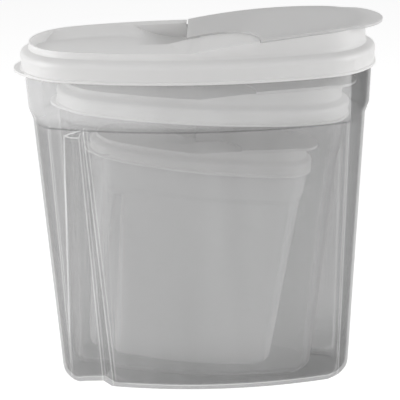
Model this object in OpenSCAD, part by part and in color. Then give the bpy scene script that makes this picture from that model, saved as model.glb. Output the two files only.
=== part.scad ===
// Cereal keeper: clear tub, press-on lid and a flip-up pour flap.
// Two smaller keepers of the same design stand inside the large one.
// The frame has +Z up, +X towards the spout and its origin under the middle of the base.

/* [Lid plan] */
// Half of the length over the lid skirt
half_length = 132; // [126:0.5:138]
// Half of the depth over the lid skirt
half_depth = 61; // [57:0.5:64]
// Plan radius of the two long sides
side_radius = 345; // [320:1:380]
// Plan radius of the two ends
end_radius = 58; // [54:0.5:61]

/* [Tub] */
// Height of the tub rim above the base
rim_z = 262; // [256:0.5:268]
// Thickness of the clear tub wall
tub_wall = 2; // [1.6:0.1:2.4]
// Thickness of the tub floor above the foot recess
tub_floor = 2; // [1.6:0.1:2.6]
// Height of the recess inside the foot ring
foot_recess = 1.2; // [0.8:0.1:1.6]
// Width of the foot ring
foot_width = 9; // [7:0.5:12]
// Draft of every wall below the ledge, in degrees
draft = 3.4; // [2.8:0.1:3.8]
// Height of the rim band above the ledge that divides it from the body
band_height = 50; // [44:0.5:56]
// Depth of the step at the ledge
ledge_step = 3; // [2:0.1:4]
// Height of the slope of the ledge
ledge_rise = 8; // [6:0.5:10]
// Radius of the foot at the two ends
end_foot_radius = 8; // [5:0.5:10]
// Radius of the foot along the two sides
side_foot_radius = 3; // [2.5:0.5:4]

/* [Grip] */
// Half of the depth of the grip panel at the base
grip_half_depth = 21.5; // [20:0.5:24]
// Where the grip panel starts to turn forward at its spout end
grip_x = -80; // [-84:0.5:-76]
// Where the grip panel meets its outer facet
grip_facet_x = -94; // [-97:0.5:-91]
// Angle of the slanted wall at the spout end of the grip
grip_wall_angle = 54; // [46:1:62]
// Angle of the outer facet of the grip
grip_facet_angle = 12; // [8:1:16]
// Draft of the grip, steeper than the walls so that a nested keeper's rim band clears it
grip_draft = 4.4; // [4.2:0.1:4.8]
// Slope of the ceiling of the grip, in degrees
grip_ceiling_angle = 52; // [48:1:58]

/* [Lid] */
// Thickness of the lid wall
lid_wall = 1.6; // [1.4:0.1:1.8]
// Reach of the lid skirt below the rim of the tub
skirt_drop = 12.7; // [11.5:0.1:14.5]
// Gap between the skirt and the rim of the tub
skirt_gap = 0.5; // [0.3:0.05:0.7]
// Gap between the rim of the tub and the shoulder that rests on it
seat_gap = 0.3; // [0.2:0.05:0.5]
// Gap between the plug wall of the lid and the inside of the tub
plug_gap = 0.4; // [0.3:0.05:0.6]
// Depth of the plug wall below the rim of the tub
plug_depth = 8; // [6:0.5:10]
// Inset of the upright wall above the shoulder
wall_inset = 7.2; // [6.6:0.1:8]
// Height of the rim of the thumb dish above the rim of the tub
dish_rise = 8.3; // [6.6:0.1:10]
// Length of the thumb tab beyond the skirt
tab_reach = 5.3; // [3:0.1:7]
// Plan radius of the thumb tab
tab_radius = 38; // [34:0.5:42]
// Slope of the dish floor towards the far side, in degrees
dish_slope = 5; // [3:0.5:6]
// Plan radius of the edge of the pour mouth beside the hinge
mouth_radius = 62; // [56:1:66]

/* [Flap] */
// Thickness of the flap
flap_wall = 1.8; // [1.6:0.1:2]
// Radius of the gentle arch of the flap
arch_radius = 714; // [650:1:800]
// Height of the crest of the arch above the rim of the tub
crest_rise = 20.4; // [19:0.1:22]
// Reach of the flap tip from the middle of the lid
flap_reach = 137.3; // [134:0.1:140]
// Plan radius of the flap tip
tip_radius = 39; // [37.5:0.5:42]
// Radius of the thumb scoop that is cut out of the flap
scoop_radius = 42; // [39:0.5:44]
// Radius of the hinge pin
pin_radius = 1.3; // [1.1:0.05:1.5]
// Radial clearance of the hinge pin in its bore
pin_clearance = 0.06; // [0.03:0.01:0.1]
// Gap between the flap and the lid round its edge
flap_gap = 0.4; // [0.3:0.05:0.6]

/* [Nested keepers] */
// Size of the medium keeper as a share of the large one
medium_size = 0.832; // [0.824:0.001:0.84]
// Lean of the medium keeper inside the large one, in degrees
medium_lean = 3.8; // [3.4:0.1:4.2]
// Size of the small keeper as a share of the large one
small_size = 0.64; // [0.632:0.001:0.648]
// Lean of the small keeper inside the medium one, in degrees
small_lean = 3.5; // [3.1:0.1:3.9]

/* [Hidden] */

// Reach of the cutting blocks, and segments of the turned walls
far_away = 400;
side_steps = 240;
end_steps = 96;

// Heights that follow the rim of the tub
ledge_z = rim_z - band_height;
skirt_z = rim_z - skirt_drop;
dish_z = rim_z + dish_rise;
crest_z = rim_z + crest_rise;
top_low = rim_z - 22;
top_height = crest_z - top_low + 18;

// Inset of the rim band for each millimetre below the rim, and height of its upright lip
band_taper = 0.046;
rim_lip = 4;
// Rounding at the two edges of the ledge
ledge_round = 0.5;
foot_step = 22.5;

// How far a cut runs past the face it goes through, and how deep joined forms sink together
past = 3;
bond = 0.6;

// Outside of the lid: flange along the skirt, its crown and the shoulder
flange = 0.5;
flange_height = 1.4;
flange_fillet = 2;
crown_fall = 8;
crown_step = 2;
shoulder_top = rim_z + 3.6;
shoulder_fillet = 1;
tab_drop = 1;
tab_wall = 2;

// Crown of the shoulder, and the two slopes of the thumb dish, as [inset, fall]
shoulder_fall = [[0, 4.3], [0.9, 2.5], [2.4, 1.5]];
side_fall = [[34, 14], [22, 9], [12, 5.4], [5, 2.2]];
end_fall = [[9, 14], [5.5, 7], [3.6, 3.5], [2.4, 1.4]];

// Thumb dish: height of its floor, and the ramp up to the level of the flap
dish_mid_z = rim_z + 3.6;
ramp_place = [-4, 0, rim_z + 8.5];
ramp_slope = 14;
ramp_back = 4;

// Pour deck and mouth
deck_z = rim_z;
deck_under = rim_z - 1.8;
mouth_x = 92;
mouth_inset = 4.5;
mouth_lip = 2;
scoop_place = [4, -48];
pad_drop = 1.2;

// Finger pocket: where it is lowest, its two hollow radii, and the square corner at the hinge
pocket_low_x = -9;
pocket_near_y = -8;
pocket_floor = rim_z - 4.5;
pocket_sweep = 80;
pocket_side_radius = 14;
pocket_corner = [12, 26];
pocket_web = 3;

// Hinge line, bosses and pins
hinge_x = -1.5;
boss_radius = 2.4;
boss_depth = 4;
barrel_back = 2;
near_bite = 2.6;
far_bite = 2.4;

// Flap: crest of its arch, rear edge and seal rib
crest_x = 121;
flap_rear_x = -7.5;
tip_shoulder = 8;
seal_depth = 5;
seal_gap = 1;

// Where the nested keepers stand along the keeper round them
medium_x = -11;
small_x = -10;

// Insets from the lid outline, for a keeper of size k
function rim_inset(k) = lid_wall + skirt_gap;
function band_inset(k, z) = rim_inset(k) + band_taper * (rim_z - z) * k;
function ledge_top(k) = band_inset(k, ledge_z + ledge_rise);
function ledge_inset(k) = ledge_top(k) + ledge_step * k;
function body_inset(k, z) = ledge_inset(k) + (ledge_z * k - z) * tan(draft);
function plug_inset(k) = rim_inset(k) + tub_wall + plug_gap;

// Arc of the foot, from the base up to the drafted wall
function foot(k, r, w, z0) =
  [for (a = [0 : foot_step : 90])
    [body_inset(k, z0 + r) + w + r * (1 - sin(a)), z0 + r * (1 - cos(a))]];

// Wall of the tub as [inset, height], with w added to every inset
function tub_profile(k, r, w, z0) = concat(
  foot(k, r, w, z0),
  [[ledge_inset(k) + w, ledge_z * k],
   [ledge_inset(k) + w - ledge_round * k, (ledge_z + 2 * ledge_round) * k],
   [ledge_top(k) + w + ledge_round * k, (ledge_z + ledge_rise - 3 * ledge_round) * k],
   [ledge_top(k) + w, (ledge_z + ledge_rise) * k],
   [rim_inset(k) + w, (rim_z - rim_lip) * k],
   [rim_inset(k) + w, rim_z * k + (w > 0 ? past : 0)]]);

module revolve(radius, profile, steps) {
  low = profile[0][1];
  high = profile[len(profile) - 1][1];
  rotate_extrude($fn = steps)
    polygon(concat([[0, low]], [for (p = profile) [radius - p[0], p[1]]], [[0, high]]));
}

// End of the plan: a turned solid, with all that lies behind its axis left open
module end_limit(k, profile) {
  centre = (half_length - end_radius) * k;
  low = profile[0][1];
  high = profile[len(profile) - 1][1];
  translate([centre, 0, 0]) rotate([0, 0, 180]) revolve(end_radius * k, profile, end_steps);
  translate([centre - far_away, -far_away / 2, low - past])
    cube([far_away, far_away, high - low + 2 * past]);
}

// Solid on the four-arc plan: two turned sides and two turned ends meet at upright creases
module plan_solid(k, side, end) {
  axis_y = (side_radius - half_depth) * k;
  intersection() {
    translate([0, -axis_y, 0]) rotate([0, 0, -90]) revolve(side_radius * k, side, side_steps);
    translate([0, axis_y, 0]) rotate([0, 0, 90]) revolve(side_radius * k, side, side_steps);
    end_limit(k, end);
    mirror([1, 0, 0]) end_limit(k, end);
  }
}

// Straight wall on the same plan, inset by t, from z0 to z1
module plan_block(k, t, z0, z1) {
  plan_solid(k, [[t, z0], [t, z1]], [[t, z0], [t, z1]]);
}

// Everything on the -Y side of an upright face that is turned by yaw and leans back by the draft
module behind(place, yaw, lean) {
  translate(place) rotate([0, 0, yaw]) rotate([lean, 0, 0])
    translate([-far_away, -far_away, -far_away]) cube([2 * far_away, far_away, 2 * far_away]);
}

// Everything under a face that is tipped by pitch about X
module under(place, pitch) {
  translate(place) rotate([pitch, 0, 0])
    translate([-far_away, -far_away, -far_away]) cube([2 * far_away, 2 * far_away, far_away]);
}

// Everything under a face that is tipped by pitch about Y
module under_ramp(place, pitch) {
  translate(place) rotate([0, pitch, 0])
    translate([-far_away, -far_away, -far_away]) cube([2 * far_away, 2 * far_away, far_away]);
}

// Hand grip on the near side: what is taken away, grown by e for the inner wall
module grip(k, e) {
  depth = grip_half_depth * k;
  ceiling = ledge_z * k;
  intersection() {
    behind([0, e - depth, 0], 0, grip_draft);
    behind([grip_facet_x * k, e - depth, 0], grip_facet_angle, grip_draft);
    behind([grip_x * k + e, e - depth, 0], -grip_wall_angle, grip_draft);
    under([0, -2 * depth, ceiling + e], -grip_ceiling_angle);
  }
}

module grips(k, e) {
  grip(k, e);
  mirror([0, 1, 0]) grip(k, e);
}

module tub(k) {
  floor_z = foot_recess + tub_floor;
  inner_end = end_foot_radius * k - tub_wall;
  inner_side = max(side_foot_radius * k - 1, 0.8);
  foot_t = body_inset(k, 0) + foot_width * k;
  difference() {
    difference() {
      plan_solid(k, tub_profile(k, side_foot_radius * k, 0, 0), tub_profile(k, end_foot_radius * k, 0, 0));
      grips(k, 0);
    }
    difference() {
      plan_solid(k, tub_profile(k, inner_side, tub_wall, floor_z),
                 tub_profile(k, inner_end, tub_wall, floor_z));
      grips(k, tub_wall);
    }
    difference() {
      plan_block(k, foot_t, -past, foot_recess);
      grips(k, foot_width * k);
    }
  }
}

// Shoulder and upright wall of the lid as [inset, height]
function lid_profile(k) = [
  [-flange, skirt_z * k],
  [-flange, skirt_z * k + flange_height],
  [flange, skirt_z * k + flange_fillet],
  [flange, (skirt_z + crown_fall) * k],
  [0, (skirt_z + crown_fall + crown_step) * k],
  for (p = shoulder_fall) [p[0] * k, (shoulder_top - p[1]) * k],
  [wall_inset * k - shoulder_fillet, shoulder_top * k],
  [wall_inset * k - 0.2 * shoulder_fillet, (shoulder_top + 1.4 * shoulder_fillet) * k],
  [wall_inset * k, (shoulder_top + 3 * shoulder_fillet) * k],
  [wall_inset * k, (top_low + top_height) * k]];

// Thumb dish as [inset, height]: gentle along the sides, steep at the ends
function dish_profile(k, fall) = [
  for (p = fall) [(wall_inset + p[0]) * k, (dish_z - p[1]) * k],
  [wall_inset * k + lid_wall, dish_z * k],
  [wall_inset * k + lid_wall, dish_z * k + past]];

// Everything under the arch of the flap, lowered by drop
module under_arch(k, drop) {
  translate([0, -far_away / 2, 0]) rotate([-90, 0, 0]) linear_extrude(far_away)
    intersection() {
      translate([crest_x * k, (arch_radius - crest_z) * k]) circle(arch_radius * k - drop, $fn = 480);
      translate([crest_x * k - far_away / 2, -far_away]) square(far_away);
    }
}

module scoop(k, grow) {
  translate([scoop_place[0] * k, scoop_place[1] * k, top_low * k])
    cylinder(r = scoop_radius * k + grow, h = top_height * k, $fn = 120);
}

// Everything on the spout side of x, for a cut or a limit
module beyond(x) {
  translate([x, -far_away, -far_away]) cube(2 * far_away);
}

// Pocket behind the flap, where a finger reaches its rear edge; grow is its wall
module pocket(k, grow) {
  near_y = pocket_near_y * k - grow;
  low_z = pocket_floor * k - grow;
  sweep = pocket_sweep * k + grow;
  side = pocket_side_radius * k + grow;
  difference() {
    intersection() {
      union() {
        // A long hollow across the dish, rounded along its near side
        intersection() {
          translate([pocket_low_x * k, 0, low_z + sweep]) rotate([-90, 0, 0])
            cylinder(r = sweep, h = far_away, center = true, $fn = side_steps);
          union() {
            translate([0, near_y + side, low_z + side]) rotate([0, 90, 0])
              cylinder(r = side, h = far_away, center = true, $fn = end_steps);
            translate([-far_away / 2, near_y + side, 0]) cube(far_away);
          }
        }
        translate([hinge_end(k) + grow - pocket_corner[0] * k, near_y, low_z])
          cube([pocket_corner[0] * k, pocket_corner[1] * k, far_away]);
      }
      plan_block(k, (wall_inset + pocket_web) * k + lid_wall - grow, low_z - past,
                 (top_low + top_height) * k);
    }
    beyond(hinge_end(k) + grow);
  }
}

module mouth(k, grow, z0, z1) {
  intersection() {
    plan_block(k, (wall_inset + mouth_inset) * k - grow, z0, z1);
    translate([mouth_x * k, 0, z0 - past])
      cylinder(r = mouth_radius * k + grow, h = z1 - z0 + 2 * past, $fn = side_steps);
  }
}

// Hinge: its height leaves the bosses just clear of the sheet of the flap
function arch_z(k, x, drop) =
  (crest_z - arch_radius) * k + sqrt(pow(arch_radius * k - drop, 2) - pow((x - crest_x) * k, 2));
function hinge_z(k) = arch_z(k, hinge_x, flap_wall + seat_gap + boss_radius * k);
function hinge_far(k) = (half_depth - wall_inset - boss_depth) * k - lid_wall - flap_gap + bond / 2;
function hinge_near(k) = (scoop_place[1] + sqrt(pow(scoop_radius, 2) - pow(hinge_x - scoop_place[0], 2))) * k;
function barrel_radius(k) = boss_radius * k + seat_gap + bond;
function hinge_end(k) = hinge_x * k + barrel_radius(k) + flap_gap;
function corner_reach(k) = norm([(flap_rear_x - hinge_x) * k, arch_z(k, flap_rear_x, 0) - hinge_z(k)]);

// Solid cylinder along Y about the hinge, between two places
module hinge_rod(k, r, y0, y1) {
  translate([hinge_x * k, y0, hinge_z(k)]) rotate([-90, 0, 0]) cylinder(r = r, h = y1 - y0, $fn = 32);
}

// Everything that lies under the flap or ahead of its rear edge
module ahead_of_rear(k) {
  beyond(flap_rear_x * k - flap_gap);
}

// Room in the far wall for the rear corner of the flap, which swings down as the tip rises
module corner_relief(k, grow) {
  difference() {
    hinge_rod(k, corner_reach(k) + flap_gap + grow, hinge_far(k) - grow,
              (half_depth - wall_inset) * k + seat_gap);
    beyond((hinge_x - boss_radius / 4) * k + grow);
  }
}

module lid_shell(k) {
  intersection() {
    union() {
      plan_solid(k, lid_profile(k), lid_profile(k));
      translate([-(half_length + tab_reach - tab_radius) * k, 0, (skirt_z - tab_drop) * k])
        cylinder(r = tab_radius * k, h = tab_wall * k, $fn = end_steps);
    }
    union() {
      difference() {
        translate([-far_away, -far_away, 0]) cube([2 * far_away, 2 * far_away, dish_z * k]);
        difference() {
          ahead_of_rear(k);
          scoop(k, 0);
        }
      }
      intersection() {
        under_arch(k, flap_wall + seat_gap);
        ahead_of_rear(k);
      }
      intersection() {
        under_arch(k, pad_drop * k);
        scoop(k, 0);
      }
    }
  }
}

// Room for the rim of the tub, and the hollow inside the plug wall
module lid_underside(k) {
  seat = rim_z * k + seat_gap;
  upper_inset = max(wall_inset * k, plug_inset(k)) + lid_wall;
  difference() {
    plan_block(k, lid_wall, skirt_z * k - past, seat);
    plan_block(k, plug_inset(k), (rim_z - plug_depth) * k, seat + past);
  }
  difference() {
    union() {
      plan_block(k, plug_inset(k) + lid_wall, skirt_z * k - past, deck_under * k);
      intersection() {
        plan_block(k, upper_inset, skirt_z * k, (top_low + top_height) * k);
        under([0, 0, dish_mid_z * k - lid_wall], -dish_slope);
        under_ramp([ramp_place[0] * k, 0, ramp_place[2] * k - lid_wall], -ramp_slope);
        mirror([1, 0, 0]) beyond((ramp_back - ramp_place[0]) * k);
      }
      intersection() {
        plan_block(k, upper_inset, skirt_z * k, (top_low + top_height) * k);
        under_arch(k, pad_drop * k + lid_wall);
        scoop(k, -lid_wall);
        beyond(hinge_end(k));
      }
    }
    pocket(k, lid_wall);
    corner_relief(k, lid_wall);
  }
}

// Thumb dish: a sloping floor that climbs a ramp to the level of the flap
module dish(k) {
  difference() {
    plan_solid(k, dish_profile(k, side_fall), dish_profile(k, end_fall));
    under([0, 0, dish_mid_z * k], -dish_slope);
    under_ramp([ramp_place[0] * k, 0, ramp_place[2] * k], -ramp_slope);
  }
}

// Space under the flap, over the pour deck
module flap_space(k) {
  intersection() {
    plan_block(k, wall_inset * k + lid_wall, deck_z * k, (top_low + top_height) * k);
    difference() {
      beyond(hinge_end(k) + lid_wall);
      scoop(k, 0);
    }
  }
}

module lid(k) {
  bore = pin_radius * k + pin_clearance;
  difference() {
    union() {
      difference() {
        lid_shell(k);
        lid_underside(k);
        dish(k);
        pocket(k, 0);
        corner_relief(k, 0);
        flap_space(k);
      }
      difference() {
        mouth(k, lid_wall, deck_under * k, (deck_z + mouth_lip) * k);
        scoop(k, 0);
      }
      hinge_rod(k, boss_radius * k, hinge_far(k) + flap_gap, hinge_far(k) + flap_gap + boss_depth * k);
      hinge_rod(k, boss_radius * k, hinge_near(k) - boss_depth * k, hinge_near(k) - seat_gap);
    }
    mouth(k, 0, deck_under * k - past, (deck_z + mouth_lip) * k + past);
    hinge_rod(k, bore, hinge_far(k) - past, hinge_far(k) + 2 * flap_gap + far_bite * k);
    hinge_rod(k, bore, hinge_near(k) - flap_gap - near_bite * k, hinge_near(k) + past);
  }
}

// Plan of the flap: the sides follow the lid wall and the tip overhangs the spout
module flap_plan(k, inset) {
  r = (side_radius - wall_inset) * k - inset;
  centre = (flap_reach - tip_radius) * k;
  axis_y = (side_radius - half_depth) * k;
  intersection() {
    translate([0, -axis_y, top_low * k]) cylinder(r = r, h = top_height * k, $fn = side_steps);
    translate([0, axis_y, top_low * k]) cylinder(r = r, h = top_height * k, $fn = side_steps);
    union() {
      translate([centre, 0, top_low * k])
        cylinder(r = tip_radius * k - inset, h = top_height * k, $fn = end_steps);
      mirror([1, 0, 0]) beyond(-centre - tip_shoulder * k);
    }
    beyond(flap_rear_x * k);
  }
}

module flap(k) {
  barrel_near = hinge_near(k) + flap_gap;
  difference() {
    union() {
      difference() {
        intersection() {
          flap_plan(k, 0);
          under_arch(k, 0);
        }
        under_arch(k, flap_wall);
      }
      // Seal rib that drops inside the wall of the spout
      intersection() {
        difference() {
          mouth(k, -seal_gap, top_low * k, (top_low + top_height) * k);
          mouth(k, -seal_gap - lid_wall, top_low * k - past, (top_low + top_height) * k + past);
        }
        difference() {
          under_arch(k, flap_wall - bond);
          under_arch(k, flap_wall + seal_depth * k);
          // The rib swings towards the hinge as it rises, so it starts clear of the thumb pad
          scoop(k, seal_gap + lid_wall);
        }
      }
      hinge_rod(k, barrel_radius(k), barrel_near + barrel_back, hinge_far(k));
    }
    scoop(k, flap_gap);
  }
  hinge_rod(k, pin_radius * k, hinge_near(k) - near_bite * k, barrel_near + 2 * near_bite * k);
  hinge_rod(k, pin_radius * k, hinge_far(k) - boss_depth * k, hinge_far(k) + flap_gap + far_bite * k);
}

// Height of a nested keeper: the spout end of its foot stands on the floor of the keeper round it
function foot_x(k) = (half_length - end_foot_radius) * k - body_inset(k, end_foot_radius * k);
function stand(k, lean) = foot_recess + tub_floor + seat_gap + foot_x(k) * sin(lean);

module medium() {
  translate([medium_x, 0, stand(medium_size, medium_lean)]) rotate([0, medium_lean, 0]) children();
}

module small() {
  medium() translate([small_x, 0, stand(small_size, small_lean)]) rotate([0, small_lean, 0]) children();
}

module clear_plastic() { color("gainsboro", 0.35) children(); }
module white_plastic() { color("whitesmoke") children(); }

clear_plastic() tub(1);  // tub_large
white_plastic() lid(1);  // lid_large
white_plastic() flap(1);  // flap_large
clear_plastic() medium() tub(medium_size);  // tub_medium
white_plastic() medium() lid(medium_size);  // lid_medium
white_plastic() medium() flap(medium_size);  // flap_medium
clear_plastic() small() tub(small_size);  // tub_small
white_plastic() small() lid(small_size);  // lid_small
white_plastic() small() flap(small_size);  // flap_small
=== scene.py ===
# %% [markdown]
# # A clear cereal keeper with a flip-up pour flap
# The real object is three keepers of one design, nested inside each other.
# Each has a clear injection-moulded tub, a white press-on lid and a white flap
# that swings up on two stub pins. Their shapes come from the CAD model, which
# is loaded as a fixed frame. This script finishes those shapes as a moulder
# would see them, with soft edges and real plastics, and photographs them.

# %% Load the fixed frame
import math
import bpy
from mathutils import Matrix, Vector


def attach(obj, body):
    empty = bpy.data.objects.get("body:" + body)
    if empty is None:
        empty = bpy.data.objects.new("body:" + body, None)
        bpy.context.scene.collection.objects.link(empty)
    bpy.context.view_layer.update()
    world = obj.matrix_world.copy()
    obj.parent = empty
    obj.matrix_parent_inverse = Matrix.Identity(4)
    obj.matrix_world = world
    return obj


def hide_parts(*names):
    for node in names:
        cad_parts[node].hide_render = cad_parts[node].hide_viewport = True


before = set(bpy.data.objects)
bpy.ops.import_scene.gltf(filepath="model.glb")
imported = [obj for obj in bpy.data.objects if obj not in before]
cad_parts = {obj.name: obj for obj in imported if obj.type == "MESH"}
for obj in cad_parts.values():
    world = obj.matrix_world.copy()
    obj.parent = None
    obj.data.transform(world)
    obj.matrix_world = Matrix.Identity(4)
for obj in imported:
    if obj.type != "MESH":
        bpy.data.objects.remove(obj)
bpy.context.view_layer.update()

MM = 0.001

# %% [markdown]
# ## Camera
# The camera was fitted to the outlines of the lid, the rim band and the base.
# At the size chosen for the keepers it stands 1.3 m away, about 19 degrees
# above the table, and has a long lens. A camera looks along its own -Z, so its
# axes are built from the direction back to the lens, and then rolled slightly.

# %% Place the camera
TURN = math.radians(1.15)
RISE = math.radians(19.36)
ROLL = math.radians(1.50)
TARGET = Vector((-0.00093, 0.0, 0.14126))
DISTANCE = 1.2916
LENS = 151.48
SENSOR = 36.0

back = Vector((
    math.sin(TURN) * math.cos(RISE),
    -math.cos(TURN) * math.cos(RISE),
    math.sin(RISE),
))
right = (-back).cross(Vector((0, 0, 1))).normalized()
up = right.cross(-back)
rolled_right = right * math.cos(ROLL) - up * math.sin(ROLL)
rolled_up = up * math.cos(ROLL) + right * math.sin(ROLL)

bpy.ops.object.camera_add(location=TARGET + back * DISTANCE)
camera = bpy.context.object
camera.name = "photo_camera"
axes = Matrix((rolled_right, rolled_up, back)).transposed()
camera.rotation_euler = axes.to_euler()
camera.data.lens = LENS
camera.data.sensor_width = SENSOR
camera.data.clip_end = 20.0
bpy.context.scene.camera = camera
print("camera at", [round(v, 4) for v in camera.location])

# %% [markdown]
# ## Shader maths
# A material's numbers are easier to read as sums than as a web of nodes. Value
# wraps one output socket, and an ordinary sum or product of values adds the
# Math node that works it out.

# %% Wrap sockets so that sums become nodes
class Value:
    def __init__(self, graph, socket):
        self.graph = graph
        self.socket = socket

    def math(self, operation, first, second):
        return self.graph.add("ShaderNodeMath", {"operation": operation}, {0: first, 1: second})

    def __add__(self, other):
        return self.math("ADD", self, other)

    def __radd__(self, other):
        return self.math("ADD", other, self)

    def __sub__(self, other):
        return self.math("SUBTRACT", self, other)

    def __rsub__(self, other):
        return self.math("SUBTRACT", other, self)

    def __mul__(self, other):
        return self.math("MULTIPLY", self, other)

    def __rmul__(self, other):
        return self.math("MULTIPLY", other, self)

    def __lt__(self, other):
        return self.math("LESS_THAN", self, other)

    def __pow__(self, other):
        return self.math("POWER", self, other)


# %% [markdown]
# Graph makes every other node from its type, its settings and what goes into
# its sockets. A few of its methods name the combinations that are used again:
# the kinds of ray, a smooth step between two places, and a mix of two shaders.

# %% Make nodes from one method
class Graph:
    def __init__(self, tree, material=None):
        self.tree = tree
        self.material = material
        tree.nodes.clear()

    def add(self, kind, settings=None, sockets=None, out=0):
        node = self.tree.nodes.new(kind)
        for key, value in (settings or {}).items():
            setattr(node, key, value)
        for key, value in (sockets or {}).items():
            if isinstance(value, Value):
                self.tree.links.new(value.socket, node.inputs[key])
            else:
                node.inputs[key].default_value = value
        return Value(self, node.outputs[out])

    def ray(self, kind):
        return self.add("ShaderNodeLightPath", out="Is " + kind + " Ray")

    def seen(self):
        return self.ray("Camera") + self.ray("Glossy") + self.ray("Transmission")

    def step(self, value, start, end):
        return self.add(
            "ShaderNodeMapRange",
            {"interpolation_type": "SMOOTHSTEP"},
            {"Value": value, "From Min": start, "From Max": end},
        )

    def mix(self, share, first, second):
        return self.add("ShaderNodeMixShader", {}, {0: share, 1: first, 2: second})

    def output(self, kind, shader):
        node = self.tree.nodes.new(kind)
        self.tree.links.new(shader.socket, node.inputs["Surface"])

    def surface(self, shader):
        self.output("ShaderNodeOutputMaterial", shader)
        print("finish", self.material.name, "has", len(self.tree.nodes), "nodes")
        return self.material


def new_finish(name):
    material = bpy.data.materials.new(name)
    material.use_nodes = True
    return Graph(material.node_tree, material)


def grey(level, warmth=0.0):
    return (level * (1 + warmth), level, level * (1 - warmth), 1.0)


# %% [markdown]
# ## Studio
# The photograph has a plain white ground, and the lid's bright ends suggest
# broad soft light from both sides. The floor is a plain pale sheet that reaches
# past the camera's view. Where the lens sees it, it glows just enough to reach
# white, so it makes the whole background and still carries a soft shadow.

# %% Lay the floor
FLOOR_SIZE = 14.0
FLOOR_DROP = -0.5 * MM
PAPER = 0.8
PAPER_GLOW = 0.42

bpy.ops.mesh.primitive_plane_add(size=FLOOR_SIZE, location=(0, 0, FLOOR_DROP))
floor = bpy.context.object
floor.name = "studio_floor"
bpy.ops.object.transform_apply(location=True, rotation=True, scale=True)

paper = new_finish("studio_paper")
sheet = paper.add("ShaderNodeBsdfDiffuse", {}, {"Color": grey(PAPER)})
white = paper.add("ShaderNodeEmission", {}, {"Color": grey(1.0), "Strength": PAPER_GLOW})
glowing = paper.add("ShaderNodeAddShader", {}, {0: sheet, 1: white})
floor.data.materials.append(paper.surface(paper.mix(paper.seen(), sheet, glowing)))

# %% [markdown]
# The room itself gives an even light from all round, and shows as white. Two
# softboxes, a little in front on either side, give the lid its bright ends.

# %% Fill the room with soft light
ROOM_LIGHT = 0.58
SOFTBOX_SIZE = (0.7, 0.9)
SOFTBOX_AIM = Vector((0, 0, 0.15))

world = bpy.data.worlds.new("studio_room")
bpy.context.scene.world = world
world.use_nodes = True
sky = Graph(world.node_tree)
strength = ROOM_LIGHT + (1 - ROOM_LIGHT) * sky.seen()
room = sky.add("ShaderNodeBackground", {}, {"Color": grey(1.0), "Strength": strength})
sky.output("ShaderNodeOutputWorld", room)


def softbox(name, place, power):
    bpy.ops.object.light_add(type="AREA", location=place)
    lamp = bpy.context.object
    lamp.name = name
    lamp.data.shape = "RECTANGLE"
    lamp.data.size, lamp.data.size_y = SOFTBOX_SIZE
    lamp.data.energy = power
    towards = SOFTBOX_AIM - Vector(place)
    lamp.rotation_euler = towards.to_track_quat("-Z", "Y").to_euler()
    print(name, "gives", power, "W")


softbox("left_softbox", (-1.3, -0.4, 0.5), 13)
softbox("right_softbox", (1.4, -0.4, 0.5), 12)

# %% [markdown]
# ## Clear plastic
# The tubs are moulded in a clear plastic with a light haze. A glass shader
# could make them, and bends each ray at every face, of which a view through the
# nest crosses a dozen. Here a ray goes straight on through a Principled shader,
# whose Alpha sets directly how much of a wall is seen: little where it faces
# the eye, so the nested tubs show through, and more where it is seen edge on.
# The wall's colour carries painted light and shade: it is paler towards the
# grip and darker towards the spout. The rim band is painted paler, all but its
# spout end, as painted light, and the wall is denser there. A painted dark line
# along the ledge, where the wall is denser too, is painted shade at the step.
# The wall is also denser in the foot. Where a wall is seen edge on, its colour
# is painted darker, as painted shade. Those tones were set by comparing renders
# with the photograph. Flow lines drawn out along the height ripple it. Lamps
# have to reach the nested keepers, so shadow and diffuse rays mostly pass.

# %% Name where the clear plastic changes
# The grip, spout, band and ledge places bound painted light and shade; the foot and the flow lines
# belong to the plastic itself.
GRIP_END, SPOUT_END = -130 * MM, 110 * MM
BAND_FROM, BAND_TO = 205 * MM, 222 * MM
BAND_END = 112 * MM
FOOT_FROM, FOOT_TO = 50 * MM, 6 * MM
LEDGE_LINE, LEDGE_LINE_HALF = 211.6 * MM, 0.5 * MM
FLOW_STRETCH = (1.0, 1.0, 0.1)
FLOW_SCALE = 60.0
PASSING = 0.9
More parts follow.
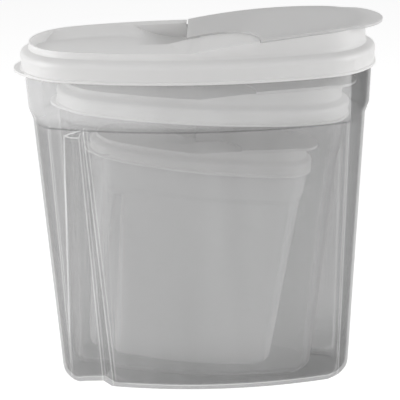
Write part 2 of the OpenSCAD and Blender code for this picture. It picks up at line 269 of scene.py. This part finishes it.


# %% Mix the clear plastic
# grip and spout set the painted light and shade along a tub, band paints the rim band paler, and
# the last argument paints a wall darker where it is seen edge on.
def clear_plastic(name, grip, spout, face_on, edge_on, roughness=0.1, ripple=0.1,
                  band=0.0, density_and_painted_light=0.0, painted_edge_shade=0.0):
    g = new_finish(name)
    place = g.add("ShaderNodeTexCoord", out="Object")
    across = g.add("ShaderNodeSeparateXYZ", {}, {0: place}, out="X")
    height = g.add("ShaderNodeSeparateXYZ", {}, {0: place}, out="Z")
    facing = g.add("ShaderNodeLayerWeight", {}, {"Blend": 0.5}, out="Facing")

    drawn = g.add("ShaderNodeVectorMath", {"operation": "MULTIPLY"}, {0: place, 1: FLOW_STRETCH})
    flow = g.add("ShaderNodeTexNoise", {}, {"Vector": drawn, "Scale": FLOW_SCALE, "Detail": 1.5})
    normal = g.add("ShaderNodeBump", {}, {"Strength": ripple, "Distance": 2 * MM, "Height": flow})

    to_spout = g.step(across, GRIP_END, SPOUT_END)
    in_band = g.step(height, BAND_FROM, BAND_TO)
    in_foot = g.step(height, FOOT_FROM, FOOT_TO)
    # Painted shade: a thin dark line along the ledge step.
    painted_ledge_line = g.add("ShaderNodeMath", {"operation": "COMPARE"},
                     {0: height, 1: LEDGE_LINE, 2: LEDGE_LINE_HALF})

    # Painted light and shade: the colour runs from paler at the grip to darker at the spout.
    haze_painted_light_and_shade = grip + (spout - grip) * to_spout
    # Painted light: the rim band is made paler, all but its spout end.
    haze_painted_light_and_shade = haze_painted_light_and_shade + band * in_band * (across < BAND_END)
    # Painted shade: darker along the ledge line and where a wall is seen edge on.
    haze_painted_light_and_shade = haze_painted_light_and_shade * (1.0 - 0.8 * painted_ledge_line) * (1.0 - painted_edge_shade * facing ** 2.0)
    haze_painted_light_and_shade = haze_painted_light_and_shade + 0.12 * (flow - 0.5)
    # The wall is denser in the foot, and is also made denser in the band and on the ledge line,
    # where that shows their painted light and painted shade.
    solid = face_on + density_and_painted_light * (in_foot + 1.5 * in_band + 2.0 * painted_ledge_line)
    solid = solid + (edge_on - face_on) * facing ** 2.5

    wall = g.add("ShaderNodeBsdfPrincipled", {}, {
        "Base Color": g.add("ShaderNodeCombineColor", {}, {0: haze_painted_light_and_shade, 1: haze_painted_light_and_shade, 2: haze_painted_light_and_shade}),
        "Roughness": roughness,
        "IOR": 1.5,
        "Alpha": solid,
        "Normal": normal,
    })
    open_air = g.add("ShaderNodeBsdfTransparent", {}, {"Color": grey(1.0)})
    passing = PASSING * (g.ray("Shadow") + g.ray("Diffuse"))
    return g.surface(g.mix(passing, wall, open_air))


# %% [markdown]
# ## White plastic
# Lids and flaps are a satin white. A very fine grain from the mould's surface
# softens their highlights, and broad, faint waves keep large faces from
# looking computed. The plastic is thin and lets a third of the light through,
# which fills the dark gap between a lid and the keeper below it.

# %% Mix the white plastic
LID_ROUGHNESS, FLAP_ROUGHNESS = 0.34, 0.3


def white_plastic(name, level, roughness, grain=0.06, through=0.3):
    g = new_finish(name)
    place = g.add("ShaderNodeTexCoord", out="Object")
    fine = g.add("ShaderNodeTexNoise", {}, {"Vector": place, "Scale": 1800.0, "Detail": 2.0})
    broad = g.add("ShaderNodeTexNoise", {}, {"Vector": place, "Scale": 14.0, "Detail": 2.0})
    waves = fine + 2.0 * broad
    normal = g.add("ShaderNodeBump", {}, {"Strength": grain, "Distance": 0.2 * MM, "Height": waves})
    skin = g.add("ShaderNodeBsdfPrincipled", {}, {
        "Base Color": grey(level, 0.006),
        "Roughness": roughness + 0.08 * (broad - 0.5),
        "IOR": 1.46,
        "Normal": normal,
    })
    inside = g.add("ShaderNodeBsdfTranslucent", {}, {"Color": grey(0.95)})
    return g.surface(g.mix(through, skin, inside))


# %% [markdown]
# ## Finishes
# The nested pieces are painted paler than the large ones, because that is how
# they look through its wall: painted light that makes up for the light the outer
# wall and lid keep from them. The large flap is painted darker than the large
# lid, though both are the same white, as painted shade. Where two walls of a tub
# meet in a crease, the bevel strips get a paler finish of their own, which is a
# painted highlight.

# %% Make the finishes
finishes = {
    "tub_large": clear_plastic("clear_large", 0.18, 0.05, 0.25, 0.7,
                               ripple=0.2, band=0.36, density_and_painted_light=0.08, painted_edge_shade=0.2),
    # Painted light: the medium and small pieces get paler levels than the large ones.
    "tub_medium": clear_plastic("clear_medium", 0.6, 0.68, 0.24, 0.75,
                                roughness=0.3, painted_edge_shade=0.3),
    "tub_small": clear_plastic("clear_small", 0.8, 0.9, 0.5, 0.8,
                               roughness=0.3, painted_edge_shade=0.1),
    "lid_large": white_plastic("white_lid", 0.75, LID_ROUGHNESS),
    "lid_medium": white_plastic("white_lid_medium", 0.95, LID_ROUGHNESS),
    "lid_small": white_plastic("white_lid_small", 0.95, LID_ROUGHNESS),
    # Painted shade: the large flap is set darker than the large lid, though both are white.
    "flap_large": white_plastic("white_flap", 0.57, FLAP_ROUGHNESS),
    "flap_medium": white_plastic("white_flap_medium", 0.9, FLAP_ROUGHNESS),
    "flap_small": white_plastic("white_flap_small", 0.9, FLAP_ROUGHNESS),
}
# Painted highlight: the bevel strips on the tubs' creases and foot get a far paler colour.
painted_crease_highlight = clear_plastic("clear_painted_crease_highlight", 0.8, 0.65, 0.24, 0.4, ripple=0.0)

# %% [markdown]
# ## Fairing the plan
# On the real lid and rim band the long sides run into the ends in one smooth
# oval, while the tub below the ledge has an upright crease there. The CAD model
# keeps that crease all the way up. Each moulding is therefore copied, its loose
# triangles are merged, and every point near an end moves in to the oval whose
# end arc meets the side arc at a tangent. A point keeps its distance from the
# outline, so walls keep their thickness. The tub moves above its ledge only.

# %% Name the plan's sizes
SIDE_RADIUS = 345 * MM
HALF_DEPTH = 61 * MM
HALF_LENGTH = 132 * MM
CREASED_END = 58 * MM
FAIR_END = 49.17 * MM
LEDGE_FROM, LEDGE_TO = 212 * MM, 219 * MM
SIDE_CENTRE = SIDE_RADIUS - HALF_DEPTH
FAIR_CENTRE = HALF_LENGTH - FAIR_END
meeting = SIDE_RADIUS * FAIR_CENTRE / math.hypot(FAIR_CENTRE, SIDE_CENTRE)
print("the side arc meets the end arc", round(meeting / MM, 1), "mm out")


def keeper_place(origin_x, origin_z, lean):
    origin = Matrix.Translation((origin_x * MM, 0, origin_z * MM))
    return origin @ Matrix.Rotation(math.radians(lean), 4, "Y")


KEEPERS = {
    "large": (1.0, keeper_place(0, 0, 0)),
    "medium": (0.832, keeper_place(-11, 9.258, 3.8)),
    "small": (0.64, keeper_place(-20.478, 17.454, 7.3)),
}


# %% Move one place in to the oval
def faired(x, y):
    along = abs(x) - FAIR_CENTRE
    if along <= 0 or abs(y) * FAIR_CENTRE > along * SIDE_CENTRE:
        return x, y
    side = SIDE_RADIUS - math.hypot(x, abs(y) + SIDE_CENTRE)
    end = CREASED_END - math.hypot(abs(x) - HALF_LENGTH + CREASED_END, y)
    pull = (FAIR_END - min(side, end)) / math.hypot(along, y)
    return math.copysign(FAIR_CENTRE + along * pull, x), y * pull


# %% Copy a node and merge its loose triangles
def merged_copy(node, name):
    bpy.ops.object.select_all(action="DESELECT")
    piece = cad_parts[node].copy()
    piece.data = piece.data.copy()
    piece.name = name
    bpy.context.collection.objects.link(piece)
    piece.select_set(True)
    bpy.context.view_layer.objects.active = piece
    bpy.ops.mesh.customdata_custom_splitnormals_clear()
    bpy.ops.object.mode_set(mode="EDIT")
    bpy.ops.mesh.select_all(action="SELECT")
    bpy.ops.mesh.remove_doubles(threshold=0.004 * MM)
    bpy.ops.object.mode_set(mode="OBJECT")
    return piece


# %% Fair a copy in its own keeper's frame
def fair(piece, kind, keeper):
    size, place = KEEPERS[keeper]
    back_to_keeper = place.inverted()
    furthest = 0.0
    for point in piece.data.vertices:
        local = back_to_keeper @ point.co / size
        share = 1.0
        if kind == "tub":
            share = min(1.0, max(0.0, (local.z - LEDGE_FROM) / (LEDGE_TO - LEDGE_FROM)))
        x, y = faired(local.x, local.y)
        moved_x = local.x + share * (x - local.x)
        moved_y = local.y + share * (y - local.y)
        target = Vector((moved_x, moved_y, local.z))
        furthest = max(furthest, (target - local).length * size)
        point.co = place @ (target * size)
    print(piece.name, "moved in by", round(furthest / MM, 2), "mm at most")


# %% [markdown]
# ## Soft edges
# A moulding has no sharp edge. A narrow bevel on every edge over the crease
# angle catches the light as a real one does. On a tub the bevel's faces take
# the second material, which paints its creases and its foot as fine pale lines,
# a painted highlight.

# %% Soften the edges and even the shading
EDGES = {"tub": 0.6 * MM, "lid": 0.3 * MM, "flap": 0.4 * MM}
CREASES = {"tub": 29, "lid": 38, "flap": 38}
CREASE_SLOT = 1


def soften(piece, kind):
    soft = piece.modifiers.new("soft_edges", "BEVEL")
    soft.width = EDGES[kind]
    soft.segments = 2
    soft.limit_method = "ANGLE"
    soft.angle_limit = math.radians(CREASES[kind])
    soft.use_clamp_overlap = kind != "tub"
    # On a tub the bevel faces take the painted crease highlight.
    if kind == "tub":
        soft.material = CREASE_SLOT
    bpy.ops.object.modifier_apply(modifier=soft.name)
    bpy.ops.object.shade_smooth_by_angle(angle=math.radians(CREASES[kind] - 1))
    even = piece.modifiers.new("even_normals", "WEIGHTED_NORMAL")
    even.keep_sharp = True
    bpy.ops.object.modifier_apply(modifier=even.name)
    print(piece.name, "has", len(piece.data.polygons), "faces")


# %% [markdown]
# ## The nine mouldings
# Every tub, lid and flap goes through the same steps, rides on its own body
# and takes the place of its CAD node, which stays for collision.

# %% Make the mouldings
SLOTS = {"tub": "clear_plastic", "lid": "white_lid", "flap": "white_flap"}


def moulding(kind, keeper):
    node = kind + "_" + keeper
    piece = merged_copy(node, keeper + "_" + kind)
    fair(piece, kind, keeper)
    piece.data.materials.clear()
    piece.data.materials.append(finishes[node])
    if kind == "tub":
        piece.data.materials.append(painted_crease_highlight)
    soften(piece, kind)
    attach(piece, node)
    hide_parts(node)


for keeper in KEEPERS:
    for kind in SLOTS:
        moulding(kind, keeper)

# %% [markdown]
# ## Light paths
# Looking through three nested tubs crosses a dozen clear faces, so a ray needs
# enough bounces to come out on the far side.

# %% Let rays through all the walls
tracing = bpy.context.scene.cycles
tracing.max_bounces = 24
tracing.transmission_bounces = 24
tracing.transparent_max_bounces = 32
bpy.context.scene.view_settings.view_transform = "Standard"
